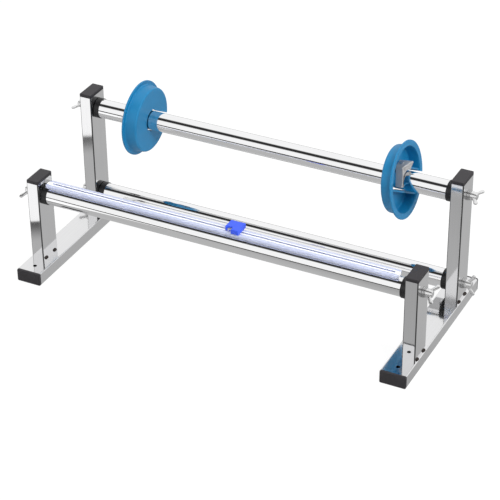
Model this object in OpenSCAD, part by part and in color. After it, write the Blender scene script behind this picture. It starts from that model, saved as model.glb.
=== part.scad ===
/* [Side frames] */
// Clear width between the posts
between_posts = 443.4; // [340:0.2:600]
// Length of a rail over its end plugs
rail_len = 211; // [190:1:320]
// Width of a rail, side to side
rail_w = 30; // [24:1:44]
// Height of a rail
rail_h = 15; // [10:1:24]
// Width of a post, front to back
post_w = 30; // [26:1:44]
// Thickness of a post, side to side
post_t = 15; // [11:1:18]
// How far the posts stand in from the rails' outer sides
post_inset = 2.3; // [2:0.1:6]
// Length of the front posts
front_post_h = 98.5; // [70:0.5:140]
// Length of the rear posts
rear_post_h = 150.3; // [125:0.1:200]
// From the front end of a rail to the middle of its front post
front_setback = 44.9; // [36:0.1:60]
// From the rear end of a rail to the middle of its rear post
rear_setback = 45.6; // [44:0.1:60]
// Wall of the rail and post tubes
tube_wall = 1.2; // [1:0.1:2]
// Outer corner radius of the rail and post tubes
tube_corner_r = 1.4; // [1.3:0.1:3]
// Diameter of the screw holes in the rails
screw_hole_d = 4.5; // [3:0.5:8]
// From each end of a rail to its screw hole
screw_setback = 15; // [14:0.5:24]

/* [Plastic ends] */
// Thickness of the caps on the posts
post_cap_t = 3.7; // [2:0.1:6]
// Thickness of the plugs' faces on the rails
rail_plug_t = 3; // [2:0.1:6]
// Chamfer round the edge of each cap and plug
cap_chamfer = 1; // [0.4:0.1:1.5]
// How far the caps and plugs reach into their tubes
cap_insert = 9; // [6:0.5:12]
// Wall of the hollow part that reaches into a tube
cap_wall = 1.5; // [1:0.1:2]

/* [Bars] */
// Outer diameter of the three round bars
bar_d = 22; // [20:0.5:24]
// Wall of the round bars
bar_wall = 1.2; // [1:0.1:2]
// From the top of a front post's tube to the front bar
front_bar_drop = 18.5; // [14:0.5:30]
// From the top of a rear post's tube to the film shaft
film_shaft_drop = 17.8; // [14:0.1:30]
// From the top of a rail to the guide bar
guide_bar_rise = 20; // [17:1:30]
// Thickness of the flange on a bar's end plug
plug_flange_t = 7; // [5:0.5:9]
// How much wider the plug's flange is than its bar
plug_step = 1.5; // [0.5:0.1:2]
// How far an end plug reaches into its bar
plug_insert = 14; // [10:1:20]
// Outer diameter of the metal nuts and bushes in the plugs
bush_d = 9; // [8:0.5:12]
// Length of the nuts and bushes in the plugs
bush_len = 12; // [9:1:18]
// Free play of a turning bar at each end
end_play = 0.3; // [0.2:0.1:0.6]

/* [Wing bolts] */
// Diameter of the wing bolts
bolt_d = 6; // [5:0.5:6]
// Length of a wing bolt under its head
bolt_len = 25; // [23:1:27]
// Diameter of the bolt's hub
hub_d = 10; // [9:0.5:12]
// Height of the bolt's hub
hub_h = 7.6; // [6:0.1:9]
// Distance over the tips of the wings
wing_span = 26; // [20:0.2:32]
// Height of the wings over the seat of the hub
wing_h = 11.5; // [10.5:0.1:13]
// Thickness of the wings
wing_t = 2.2; // [1.5:0.1:3]
// Radius of the round end of a wing
wing_tip_r = 2.5; // [2:0.1:3]
// Diameter of the flat washer
washer_d = 12; // [11:0.5:16]
// Thickness of the flat washer
washer_t = 1.6; // [1:0.1:2]
// Diameter of the spring washer
spring_washer_d = 11; // [10:0.5:12]
// Thickness of the spring washer
spring_washer_t = 1.6; // [1:0.1:2]
// Width of the split in the spring washer
washer_split = 0.8; // [0.5:0.1:1.2]
// Turn of each wing at rest, up from the rear
wing_turn_front_left = 29; // [0:1:179]
// Turn of the film shaft's left wing
wing_turn_film_left = 8; // [0:1:179]
// Turn of the guide bar's left wing
wing_turn_guide_left = 5; // [0:1:179]
// Turn of the front bar's right wing
wing_turn_front_right = 25; // [0:1:179]
// Turn of the film shaft's right wing
wing_turn_film_right = 9; // [0:1:179]
// Turn of the guide bar's right wing
wing_turn_guide_right = 85; // [0:1:179]

/* [Core holders] */
// Diameter of the flange
holder_flange_d = 87.4; // [84:0.2:100]
// Thickness of the flange
holder_flange_t = 2; // [1.6:0.1:3]
// How far the flange stands out round the boss
flange_reach = 4.8; // [4.4:0.1:6]
// How much narrower the boss is at its face, which enters the film's core
boss_taper = 2.4; // [2:0.2:5]
// Depth of the holder from its flange to the boss face
holder_depth = 15.2; // [14.6:0.2:18]
// Thickness of the floor behind the boss face
holder_floor = 2.5; // [2:0.1:3.5]
// Wall of the boss
holder_wall = 1.7; // [1.5:0.1:2.2]
// Radius of the rounded mouth of the cup
mouth_round = 1; // [0.6:0.1:1.4]
// Radius of the cove between flange and boss
cove_r = 1.6; // [1:0.1:2]
// Room round the bar in the bore
holder_room = 1.5; // [1.3:0.1:2]
// Room on each side of the bar in the slot
slot_room = 0.5; // [0.3:0.1:1.3]
// Direction of the slot, down from the rear
slot_angle = 30; // [20:1:45]
// Thickness of the ribs beside the slot
rib_t = 2; // [1.4:0.1:2.5]
// How far the upper rib reaches back past the bar's middle
rib_back = 14; // [12:0.5:14.5]
// How far the ribs stay below the flange
rib_drop = 1.6; // [1.5:0.1:2.5]
// From the left post to the left holder's flange
left_holder_gap = 56.7; // [30:0.1:120]
// From the right post to the right holder's flange
right_holder_gap = 55.5; // [30:0.1:120]
// How far the right holder leans on the bar
right_lean = 7; // [0:0.5:7]
// Depth in the holder of the point it leans about
lean_depth = 5; // [4.5:0.5:6]

/* [Spring clips] */
// Width of the clip's band along the bar
clip_w = 8; // [6:0.5:9]
// Thickness of the clip's steel
clip_t = 1.2; // [0.8:0.1:1.4]
// Gap between the clip and the bar
clip_gap = 0.45; // [0.4:0.05:0.6]
// How far the clip's tab stands out from the flange
tab_reach = 8; // [5:0.5:8]
// Diameter of the rivet's head
rivet_head_d = 4.8; // [4:0.1:5.2]
// Thickness of the rivet's head
rivet_head_t = 0.6; // [0.4:0.1:1]
// Diameter of the rivet's shank
rivet_d = 2.6; // [2.2:0.1:2.8]
// Diameter of the hole through the rivet
rivet_bore_d = 1.6; // [1:0.1:1.8]
// How far the shank reaches below the clip
rivet_reach = 0.9; // [0.6:0.1:1]

/* [Cutter] */
// Width of the track, front to back
track_w = 14; // [12:0.5:18]
// Height of the track
track_h = 3.4; // [3:0.1:5]
// Thickness of the foam tape where the track is closest to the bar
tape_t = 1; // [0.6:0.1:1.6]
// Width of the foam tape
tape_w = 9; // [7:0.5:11]
// From the left post to the track
track_left_gap = 3.7; // [3:0.1:20]
// From the right post to the track
track_right_gap = 11.7; // [3:0.1:30]
// Corner radius of the track's ends, seen from above
track_end_r = 3; // [1:0.5:5]
// Width of the track's slot
slot_w = 5; // [4:0.5:6]
// Width of the chamber under the slot
chamber_w = 9; // [8:0.5:10]
// Height of the chamber
chamber_h = 1.8; // [1.6:0.1:2.2]
// Thickness of the lips over the chamber
lip_t = 0.8; // [0.6:0.1:1]
// How far the slot stops short of the track's ends
slot_margin = 5; // [4:0.5:10]
// Place of the cutter's middle, right of the centre
cutter_x = 17.25; // [-150:0.25:150]
// Length of the cutter along the track
cutter_len = 18; // [17:0.5:26]
// Height of the cutter over the track
cutter_h = 5.4; // [4.6:0.1:7]
// How far the cutter reaches behind the bar's middle
cutter_rear = 11; // [9:0.5:13]
// How far the cutter's body reaches in front of the bar's middle
cutter_front = 2; // [1:0.5:4]
// How far the front block reaches in front of the bar's middle
block_front = 8; // [7.5:0.5:10]
// Length of the front block
block_len = 9.5; // [8:0.5:10.5]
// How far the horn reaches in front of the cutter's body
horn_reach = 2; // [1.5:0.5:4]
// Width of the horn
horn_w = 2.6; // [2:0.1:4]
// Thickness of the blade
blade_t = 0.4; // [0.2:0.1:0.6]
// Height of the blade
blade_h = 3.6; // [3:0.1:4]
// How far each end of the blade is let in
blade_bite = 0.8; // [0.5:0.1:1]
// Running gap between the cutter and its track
cutter_gap = 0.3; // [0.2:0.05:0.4]

/* [Hidden] */
$fn = 64;

// Clearances of the fits
running_gap = 0.05;
press_gap = 0.02;
plug_gap = 0.1;
seat_gap = 0.1;
rivet_gap = 0.05;
washer_room = 0.3;
// How far a cut runs past what it cuts
overrun = 1;
// Radius of the weld tacks at the feet of the posts
tack_r = 2;
// Length of a weld tack
tack_len = 5;
// Place of the weld tacks, as a share of a post's width
tack_share = 0.3;
// Inner corner radius of a tube: its outer one less this share of the wall
corner_share = 0.6;
// Outer diameter of the threaded sleeves through the posts
sleeve_d = 9;
// Small edges on the moulded pieces
plug_chamfer = 0.6;
flange_edge = 0.5;
boss_edge_r = 2.5;
cup_fillet = 1.5;
cutter_corner_r = 1;
bump_d = 2.4;
bump_h = 0.5;
// Steps of an arc in a turned outline
arc_steps = 5;
// Width of a bolt's chamfered tip
bolt_chamfer = 0.6;
// How high on the hub the wings begin, as a share of the hub
wing_root_share = 0.3;
// Direction from the bar to the middle of the clip's leg
clip_leg_turn = 165;
// Ends of the leg below and above where it meets the bar, as shares of the bar's radius
clip_leg_shares = [-0.57, 1.51];
// Rear end of the clip's tab, as shares of the bar's radius
clip_tab_shares = [0.37, 1.91];
// Rear end of the clip's side, as shares of the bar's radius
clip_side_shares = [0.62, 0.88];
// Radius of the tab's outer corner
tab_corner_r = 1.5;
// Where the tab's outer edge begins, as shares of the tab's length and of its reach
tab_flare_shares = [0.15, 0.25];
// Place of the rivet along the tab, and across the clip's width, as shares
rivet_shares = [0.56, 0.44];
// Ends of the seat under the tab, as shares of the tab
seat_shares = [0.3, 0.9];
// Room between the clip and the ribs it passes
clip_room = 0.3;

front_y = -rail_len / 2 + front_setback;
rear_y = rail_len / 2 - rear_setback;
post_x = between_posts / 2 + post_t / 2;
outer_x = between_posts / 2 + post_t;
rail_x = outer_x + post_inset - rail_w / 2;
front_bar_z = rail_h + front_post_h - front_bar_drop;
film_shaft_z = rail_h + rear_post_h - film_shaft_drop;
guide_bar_z = rail_h + guide_bar_rise;
screw_y = rail_len / 2 - screw_setback;

bar_r = bar_d / 2;
bar_end_x = between_posts / 2 - plug_flange_t;
bolt_r = bolt_d / 2;
thread_bore_r = bolt_r + running_gap;
wash_stack = washer_t + spring_washer_t + 2 * press_gap;
head_x = outer_x + seat_gap + wash_stack;

slot_half = bar_r + holder_room;
slot_side = bar_r + slot_room;
boss_root_d = holder_flange_d - 2 * flange_reach;
boss_tip_d = boss_root_d - boss_taper;
cup_bottom_r = boss_tip_d / 2 - holder_wall;
mouth_r = (boss_root_d / 2 + cup_bottom_r) / 2 - holder_wall / 2 + flange_edge / 2;
floor_z = -(holder_depth - holder_floor);
left_flange_x = -between_posts / 2 + left_holder_gap;
right_flange_x = between_posts / 2 - right_holder_gap;

clip_mid_r = bar_r + clip_gap + clip_t / 2;
leg_along = [cos(clip_leg_turn - 90), sin(clip_leg_turn - 90)];
leg_middle = clip_mid_r * [cos(clip_leg_turn), sin(clip_leg_turn)];
clip_path = [
    leg_middle + clip_leg_shares[0] * bar_r * leg_along,
    leg_middle + clip_leg_shares[1] * bar_r * leg_along,
    clip_tab_shares * bar_r,
];
tab_from = clip_path[1];
tab_to = clip_path[2];
tab_len = norm(tab_to - tab_from);
tab_turn = atan2(tab_to[1] - tab_from[1], tab_to[0] - tab_from[0]);
rivet_z = -rivet_shares[1] * clip_w;

track_bottom = bar_r + tape_t;
track_top = track_bottom + track_h;
track_x0 = -between_posts / 2 + track_left_gap;
track_x1 = between_posts / 2 - track_right_gap;
tape_x0 = max(track_x0 + track_end_r, -bar_end_x + plug_chamfer);
tape_x1 = min(track_x1 - track_end_r, bar_end_x - plug_chamfer);
cutter_x0 = cutter_x - cutter_len / 2;
cutter_x1 = cutter_x + cutter_len / 2;
cutter_z0 = track_top + cutter_gap;
blade_y = -cutter_front - horn_reach / 2;
notch_x0 = cutter_x0 + horn_w;
notch_x1 = cutter_x1 - block_len;

// Points on an arc, from one angle to another
function arc(centre, r, from, to) = [
    for (i = [0 : arc_steps])
        centre + r * [cos(from + (to - from) * i / arc_steps), sin(from + (to - from) * i / arc_steps)]
];

// Rectangle with round corners, round its centre
module round_rect(w, h, r) {
    square([w - 2 * r, h], center = true);
    square([w, h - 2 * r], center = true);
    for (sx = [-1, 1], sy = [-1, 1])
        translate([sx * (w / 2 - r), sy * (h / 2 - r)])
            circle(r = r);
}

// Section of a rail or post tube
module tube_section(w, h) {
    difference() {
        round_rect(w, h, tube_corner_r);
        round_rect(w - 2 * tube_wall, h - 2 * tube_wall, tube_corner_r - corner_share * tube_wall);
    }
}

// Turns a shape drawn flat so that its x and y become Y and Z, and its height becomes X
module along_x() {
    rotate([90, 0, 90])
        children();
}

// The same, for a shape whose height becomes Y, from y0
module along_y(y0, length) {
    rotate([90, 0, 0])
        translate([0, 0, -y0 - length])
            linear_extrude(length)
                children();
}

module rail(side) {
    tube_len = rail_len - 2 * rail_plug_t;
    difference() {
        translate([side * rail_x, 0, rail_h / 2])
            along_y(-tube_len / 2, tube_len)
                tube_section(rail_w, rail_h);
        for (y = [-screw_y, screw_y])
            translate([side * rail_x, y, -overrun])
                cylinder(h = rail_h + 2 * overrun, d = screw_hole_d);
    }
}

module post(side, y, height, bolt_zs) {
    difference() {
        translate([side * post_x, y, rail_h])
            linear_extrude(height)
                tube_section(post_t, post_w);
        for (z = bolt_zs)
            translate([side * post_x - post_t / 2 - overrun, y, z])
                along_x()
                    cylinder(h = post_t + 2 * overrun, d = sleeve_d + 2 * press_gap);
    }
}

// Cap for the end of a tube at z = 0, with its face above and its hollow insert below
module end_cap(w, h, thickness) {
    insert_w = w - 2 * tube_wall - 2 * plug_gap;
    insert_h = h - 2 * tube_wall - 2 * plug_gap;
    intersection() {
        linear_extrude(thickness)
            round_rect(w, h, tube_corner_r);
        rotate([90, 0, 0])
            translate([0, 0, -h / 2])
                linear_extrude(h)
                    chamfered_side(w, thickness);
        along_x()
            translate([0, 0, -w / 2])
                linear_extrude(w)
                    chamfered_side(h, thickness);
    }
    translate([0, 0, -cap_insert])
        linear_extrude(cap_insert + thickness / 2)
            difference() {
                round_rect(insert_w, insert_h, tube_corner_r - tube_wall / 2);
                square([insert_w - 2 * cap_wall, insert_h - 2 * cap_wall], center = true);
            }
}

module chamfered_side(w, thickness) {
    polygon([
        [-w / 2, 0],
        [w / 2, 0],
        [w / 2, thickness - cap_chamfer],
        [w / 2 - cap_chamfer, thickness],
        [-w / 2 + cap_chamfer, thickness],
        [-w / 2, thickness - cap_chamfer],
    ]);
}

module rail_plug(side, end) {
    color("dimgray")
        translate([side * rail_x, end * (rail_len / 2 - rail_plug_t), rail_h / 2])
            rotate([-end * 90, 0, 0])
                end_cap(rail_w, rail_h, rail_plug_t);
}

module post_cap(side, y, height) {
    color("dimgray")
        translate([side * post_x, y, rail_h + height])
            end_cap(post_t, post_w, post_cap_t);
}

// One tack at the foot of a post, on the face at x, without the room of rail and post
module weld_tack(side, x, y, post_y) {
    difference() {
        translate([side * x, 0, rail_h])
            along_y(y - tack_len / 2, tack_len)
                circle(r = tack_r);
        translate([side * rail_x, 0, rail_h / 2])
            along_y(-rail_len / 2, rail_len)
                round_rect(rail_w, rail_h, tube_corner_r);
        translate([side * post_x, post_y, rail_h])
            linear_extrude(tack_r + overrun)
                round_rect(post_t, post_w, tube_corner_r);
    }
}

module all_weld_tacks() {
    color("saddlebrown")
        for (side = [-1, 1], post_y = [front_y, rear_y], end = [-1, 1])
            for (x = [outer_x, outer_x - post_t])
                weld_tack(side, x, post_y + end * tack_share * post_w, post_y);
}

// The bolts' places on each side, as [place front to back, height over the counter]
bolt_places = [[front_y, front_bar_z], [rear_y, film_shaft_z], [rear_y, guide_bar_z]];

module all_post_sleeves() {
    color("silver")
        for (side = [-1, 1], place = bolt_places)
            translate([side * post_x - post_t / 2, place[0], place[1]])
                along_x()
                    difference() {
                        cylinder(h = post_t, d = sleeve_d);
                        translate([0, 0, -overrun])
                            cylinder(h = post_t + 2 * overrun, r = thread_bore_r);
                    }
}

module bar_tube(y, z) {
    color("silver")
        translate([-bar_end_x, y, z])
            along_x()
                difference() {
                    cylinder(h = 2 * bar_end_x, r = bar_r);
                    translate([0, 0, -overrun])
                        cylinder(h = 2 * bar_end_x + 2 * overrun, r = bar_r - bar_wall);
                }
}

// End plug of a bar: its flange lies between the tube and the post
module bar_plug(side, y, z, play) {
    flange_t = plug_flange_t - play;
    flange_r = bar_r + plug_step / 2;
    color("black")
        mirror([side < 0 ? 1 : 0, 0, 0])
            translate([bar_end_x, y, z])
                along_x()
                    difference() {
                        union() {
                            cylinder(h = plug_chamfer, r1 = flange_r - plug_chamfer, r2 = flange_r);
                            translate([0, 0, plug_chamfer])
                                cylinder(h = flange_t - 2 * plug_chamfer, r = flange_r);
                            translate([0, 0, flange_t - plug_chamfer])
                                cylinder(h = plug_chamfer, r1 = flange_r, r2 = flange_r - plug_chamfer);
                            translate([0, 0, -plug_insert])
                                cylinder(h = plug_insert + flange_t / 2, r = bar_r - bar_wall - plug_gap);
                        }
                        translate([0, 0, flange_t - bush_len])
                            cylinder(h = bush_len + overrun, d = bush_d + 2 * press_gap);
                    }
}

// Metal inserts in the two plugs of a bar, which take the bolts' ends
module bar_inserts(y, z, play) {
    color("goldenrod")
        for (side = [-1, 1])
            mirror([side < 0 ? 1 : 0, 0, 0])
                translate([between_posts / 2 - play - bush_len, y, z])
                    along_x()
                        difference() {
                            cylinder(h = bush_len, d = bush_d);
                            translate([0, 0, -overrun])
                                cylinder(h = bush_len + 2 * overrun, r = thread_bore_r);
                        }
}

module washer_set(side, place) {
    color("gainsboro")
        mirror([side < 0 ? 1 : 0, 0, 0])
            translate([outer_x + seat_gap, place[0], place[1]])
                along_x() {
                    washer_ring(washer_d, washer_t);
                    translate([0, 0, washer_t + press_gap])
                        difference() {
                            washer_ring(spring_washer_d, spring_washer_t);
                            translate([bolt_r, -washer_split / 2, -overrun])
                                cube([spring_washer_d / 2, washer_split, spring_washer_t + 2 * overrun]);
                        }
                }
}

module washer_ring(diameter, thickness) {
    difference() {
        cylinder(h = thickness, d = diameter);
        translate([0, 0, -overrun])
            cylinder(h = thickness + 2 * overrun, r = bolt_r + washer_room);
    }
}

// Wing bolt along +Z: its hub stands on z = 0, its shank reaches below
module wing_bolt_shape() {
    tip_x = wing_span / 2 - wing_tip_r;
    tip_z = wing_h - wing_tip_r;
    root_z = hub_h * wing_root_share;
    cylinder(h = hub_h * wing_root_share, d = hub_d);
    translate([0, 0, hub_h * wing_root_share])
        cylinder(h = hub_h * (1 - wing_root_share), d1 = hub_d, d2 = hub_d - wing_t);
    translate([0, 0, -bolt_len + bolt_chamfer])
        cylinder(h = bolt_len - bolt_chamfer + root_z, r = bolt_r);
    translate([0, 0, -bolt_len])
        cylinder(h = bolt_chamfer, r1 = bolt_r - bolt_chamfer, r2 = bolt_r);
    rotate([90, 0, 0])
        translate([0, 0, -wing_t / 2])
            linear_extrude(wing_t)
                for (way = [-1, 1])
                    mirror([way < 0 ? 1 : 0, 0]) {
                        translate([tip_x, tip_z])
                            circle(r = wing_tip_r);
                        polygon([
                            [0, root_z],
                            [hub_d / 2, root_z],
                            [tip_x + wing_tip_r * sin(45), tip_z - wing_tip_r * sin(45)],
                            [tip_x - wing_tip_r * sin(45), tip_z + wing_tip_r * sin(45)],
                            [hub_d / 2 - wing_t / 2, hub_h],
                            [0, hub_h],
                        ]);
                    }
}

module wing_bolt(side, place, turn) {
    color("gainsboro")
        mirror([side < 0 ? 1 : 0, 0, 0])
            translate([head_x, place[0], place[1]])
                along_x()
                    rotate([0, 0, turn])
                        wing_bolt_shape();
}

// Puts a holder's piece on the film shaft. Its flange lies at height 0 and its boss below.
module on_shaft(side) {
    if (side > 0)
        translate([right_flange_x - lean_depth, rear_y, film_shaft_z])
            rotate([0, -right_lean, 0])
                translate([lean_depth, 0, 0])
                    along_x()
                        children();
    else
        translate([left_flange_x, rear_y, film_shaft_z])
            rotate(180, [0, cos(slot_angle), -sin(slot_angle)])
                along_x()
                    children();
}

// Turns a flat shape so that its x runs down the slot
module slot_frame() {
    rotate([0, 0, -slot_angle])
        children();
}

// Turns a flat shape so that its x runs along the clip's tab
module tab_frame() {
    translate(tab_from)
        rotate([0, 0, tab_turn])
            children();
}

// Turned outline of the holder, before its slot is cut
module holder_outline() {
    root_r = boss_root_d / 2;
    tip_r = boss_tip_d / 2;
    flange_r = holder_flange_d / 2;
    polygon(concat(
        [[0, -holder_depth]],
        arc([tip_r - boss_edge_r, -holder_depth + boss_edge_r], boss_edge_r, -90, 0),
        arc([root_r + cove_r, -holder_flange_t - cove_r], cove_r, 180, 90),
        arc([flange_r - flange_edge, -holder_flange_t + flange_edge], flange_edge, -90, 0),
        arc([flange_r - flange_edge, -flange_edge], flange_edge, 0, 90),
        arc([mouth_r + mouth_round, -mouth_round], mouth_round, 90, 180),
        arc([cup_bottom_r - cup_fillet, floor_z + cup_fillet], cup_fillet, 0, -90),
        [[0, floor_z]]
    ));
}

// The slot with its round end, as a flat shape
module slot_shape() {
    circle(r = slot_half);
    slot_frame()
        translate([0, -slot_side])
            square([holder_flange_d, 2 * slot_side]);
}

// The ribs beside the slot, as a flat shape
module rib_shape() {
    intersection() {
        circle(r = cup_bottom_r + holder_wall / 2);
        slot_frame() {
            translate([-rib_back, slot_half])
                square([holder_flange_d, rib_t]);
            translate([-holder_flange_d / 2, -slot_half - rib_t])
                square([holder_flange_d, rib_t]);
        }
    }
}

// The seat under the clip's tab, above the slot's side, as a flat shape
module seat_shape() {
    seat_deep = 3 * rib_t;
    intersection() {
        tab_frame()
            translate([seat_shares[0] * tab_len, -clip_t / 2 - seat_deep])
                square([(seat_shares[1] - seat_shares[0]) * tab_len, seat_deep]);
        slot_frame()
            translate([-holder_flange_d / 2, slot_half])
                square([holder_flange_d, holder_flange_d / 2]);
    }
}

// Bent strip of steel along the clip's path, as a flat shape
module clip_strip(thickness) {
    for (i = [0 : len(clip_path) - 2])
        strip_run(clip_path[i], clip_path[i + 1], thickness);
}

module strip_run(from, to, thickness) {
    along = to - from;
    translate(from)
        rotate([0, 0, atan2(along[1], along[0])])
            translate([0, -thickness / 2])
                square([norm(along), thickness]);
    translate(from)
        circle(d = thickness);
    translate(to)
        circle(d = thickness);
}

// The clip's side, as a flat shape: it fills the corner between leg, tab and bar
module clip_side() {
    difference() {
        polygon([
            clip_path[0],
            clip_path[1],
            clip_path[2],
            clip_side_shares * bar_r,
            [0, 0],
        ]);
        circle(r = bar_r + clip_gap);
    }
}

// The tab seen along its thickness: x runs along it and y out of the holder
module tab_plan() {
    flare_x = tab_flare_shares[0] * tab_len;
    flare_y = tab_flare_shares[1] * tab_reach;
    polygon([
        [0, -clip_w],
        [tab_len, -clip_w],
        [tab_len, tab_reach - tab_corner_r],
        [tab_len - tab_corner_r, tab_reach],
        [flare_x, flare_y],
        [0, 0],
    ]);
    translate([tab_len - tab_corner_r, tab_reach - tab_corner_r])
        circle(r = tab_corner_r);
}

// The tab's own direction: its plan lies flat, with the tab's upper face towards -Z
module tab_plane() {
    tab_frame()
        rotate([90, 0, 0])
            children();
}

// The rivet's own direction: its head up, at its place on the clip's tab
module rivet_frame() {
    tab_frame()
        translate([rivet_shares[0] * tab_len, 0, rivet_z])
            rotate([-90, 0, 0])
                children();
}

// Hole for the rivet's shank through the arm and into the seat
module rivet_hole() {
    rivet_frame()
        translate([0, 0, -clip_t / 2 - rivet_reach - rivet_gap])
            cylinder(h = clip_t + rivet_reach + overrun, d = rivet_d + 2 * rivet_gap);
}

// Room in the rib round the rivet's head
module head_room() {
    rivet_frame()
        translate([0, 0, clip_t / 2])
            cylinder(h = rivet_head_t + holder_wall, d = rivet_head_d + 2 * clip_room);
}

module core_holder(side) {
    color("steelblue")
        on_shaft(side)
            difference() {
                union() {
                    difference() {
                        rotate_extrude()
                            holder_outline();
                        translate([0, 0, -holder_depth - overrun])
                            linear_extrude(holder_depth + 2 * overrun)
                                slot_shape();
                    }
                    translate([0, 0, floor_z - holder_floor / 2])
                        linear_extrude(holder_depth - holder_floor / 2 - rib_drop)
                            difference() {
                                union() {
                                    rib_shape();
                                    seat_shape();
                                }
                                clip_strip(clip_t + 2 * clip_room);
                            }
                    translate([0, 0, floor_z - holder_floor / 2])
                        linear_extrude(holder_depth - holder_floor / 2 - clip_w - clip_room) {
                            rib_shape();
                            seat_shape();
                        }
                }
                rivet_hole();
                head_room();
            }
}

module spring_clip(side) {
    color("lightgray")
        on_shaft(side)
            difference() {
                union() {
                    translate([0, 0, -clip_w])
                        linear_extrude(clip_w)
                            clip_strip(clip_t);
                    translate([0, 0, -clip_t])
                        linear_extrude(clip_t)
                            clip_side();
                    tab_plane()
                        translate([0, 0, -clip_t / 2])
                            linear_extrude(clip_t)
                                tab_plan();
                }
                rivet_hole();
            }
}

module clip_rivet(side) {
    color("white")
        on_shaft(side)
            rivet_frame()
                difference() {
                    union() {
                        translate([0, 0, -clip_t / 2 - rivet_reach])
                            cylinder(h = clip_t + rivet_reach, d = rivet_d);
                        translate([0, 0, clip_t / 2])
                            cylinder(h = rivet_head_t, d = rivet_head_d);
                    }
                    translate([0, 0, -clip_t - rivet_reach])
                        cylinder(h = clip_t + rivet_reach + clip_t + rivet_head_t, d = rivet_bore_d);
                }
}

// Puts a shape at the front bar's axis
module at_front_bar() {
    translate([0, front_y, front_bar_z])
        children();
}

module foam_tape() {
    color("white")
        at_front_bar()
            translate([tape_x0, 0, 0])
                along_x()
                    linear_extrude(tape_x1 - tape_x0)
                        difference() {
                            translate([-tape_w / 2, 0])
                                square([tape_w, track_bottom]);
                            circle(r = bar_r);
                        }
}

module track() {
    slot_len = track_x1 - track_x0 - 2 * slot_margin;
    chamber_z = track_h - lip_t - chamber_h;
    color("lavender")
        at_front_bar()
            translate([(track_x0 + track_x1) / 2, 0, track_bottom])
                difference() {
                    linear_extrude(track_h)
                        round_rect(track_x1 - track_x0, track_w, track_end_r);
                    translate([-slot_len / 2, -chamber_w / 2, chamber_z])
                        cube([slot_len, chamber_w, chamber_h]);
                    translate([-slot_len / 2, -slot_w / 2, chamber_z])
                        cube([slot_len, slot_w, chamber_h + lip_t + overrun]);
                }
}

// The cutter seen from above: body, horn and front block
module cutter_plan() {
    body_w = cutter_rear + cutter_front;
    translate([cutter_x, (cutter_rear - cutter_front) / 2])
        round_rect(cutter_len, body_w, cutter_corner_r);
    translate([cutter_x0 + horn_w / 2, -cutter_front - horn_reach / 2 + cutter_corner_r / 2])
        round_rect(horn_w, horn_reach + cutter_corner_r, cutter_corner_r);
    translate([cutter_x1 - block_len / 2, -(block_front - cutter_front) / 2])
        round_rect(block_len, block_front + cutter_front, cutter_corner_r);
}

module blade_room(gap) {
    translate([notch_x0 - blade_bite, blade_y - blade_t / 2 - gap, cutter_z0 + cutter_corner_r])
        rotate([90, 0, 0])
            translate([0, 0, -blade_t - 2 * gap])
                linear_extrude(blade_t + 2 * gap)
                    polygon([
                        [-gap, -gap],
                        [notch_x1 - notch_x0 + 2 * blade_bite + gap, -gap],
                        [notch_x1 - notch_x0 + 2 * blade_bite + gap, blade_h + gap],
                        [notch_x1 - notch_x0 + blade_bite, blade_h + gap],
                        [-gap, blade_h / 2 + gap],
                    ]);
}

module cutter_top() {
    color("royalblue")
        at_front_bar()
            difference() {
                union() {
                    translate([0, 0, cutter_z0])
                        linear_extrude(cutter_h)
                            cutter_plan();
                    translate([cutter_x1 - block_len / 2, -block_front, cutter_z0 + cutter_h / 2])
                        rotate([90, 0, 0])
                            cylinder(h = bump_h, d = bump_d);
                }
                blade_room(press_gap);
            }
}

// Neck and foot that hold the cutter in its track
module track_foot() {
    neck_w = slot_w - 2 * cutter_gap;
    neck_len = cutter_len - 2 * cutter_corner_r - slot_w;
    foot_w = chamber_w - 2 * cutter_gap;
    foot_h = chamber_h - 2 * cutter_gap;
    foot_z = track_top - lip_t - chamber_h + cutter_gap;
    color("mediumblue")
        at_front_bar() {
            translate([cutter_x - neck_len / 2, -neck_w / 2, foot_z])
                cube([neck_len, neck_w, cutter_z0 - foot_z]);
            translate([cutter_x - neck_len / 2 - cutter_corner_r, -foot_w / 2, foot_z])
                cube([neck_len + 2 * cutter_corner_r, foot_w, foot_h]);
        }
}

module blade() {
    color("silver")
        at_front_bar()
            blade_room(0);
}

module steel_rail(side) {
    color("silver")
        rail(side);
}

module steel_post(side, y, height, bolt_zs) {
    color("silver")
        post(side, y, height, bolt_zs);
}

steel_rail(-1);  // left_rail
steel_rail(1);  // right_rail
rail_plug(-1, -1);  // left_front_rail_plug
rail_plug(-1, 1);  // left_rear_rail_plug
rail_plug(1, -1);  // right_front_rail_plug
rail_plug(1, 1);  // right_rear_rail_plug
steel_post(-1, front_y, front_post_h, [front_bar_z]);  // left_front_post
steel_post(1, front_y, front_post_h, [front_bar_z]);  // right_front_post
steel_post(-1, rear_y, rear_post_h, [film_shaft_z, guide_bar_z]);  // left_rear_post
steel_post(1, rear_y, rear_post_h, [film_shaft_z, guide_bar_z]);  // right_rear_post
post_cap(-1, front_y, front_post_h);  // left_front_cap
post_cap(-1, rear_y, rear_post_h);  // left_rear_cap
post_cap(1, front_y, front_post_h);  // right_front_cap
post_cap(1, rear_y, rear_post_h);  // right_rear_cap
all_weld_tacks();  // weld_tacks
all_post_sleeves();  // post_sleeves
bar_tube(front_y, front_bar_z);  // front_bar
bar_plug(-1, front_y, front_bar_z, 0);  // front_bar_left_plug
bar_plug(1, front_y, front_bar_z, 0);  // front_bar_right_plug
bar_inserts(front_y, front_bar_z, 0);  // front_bar_nuts
bar_tube(rear_y, film_shaft_z);  // film_shaft
bar_plug(-1, rear_y, film_shaft_z, end_play);  // film_shaft_left_plug
bar_plug(1, rear_y, film_shaft_z, end_play);  // film_shaft_right_plug
bar_inserts(rear_y, film_shaft_z, end_play);  // film_shaft_bushes
bar_tube(rear_y, guide_bar_z);  // guide_bar
bar_plug(-1, rear_y, guide_bar_z, end_play);  // guide_bar_left_plug
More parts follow.
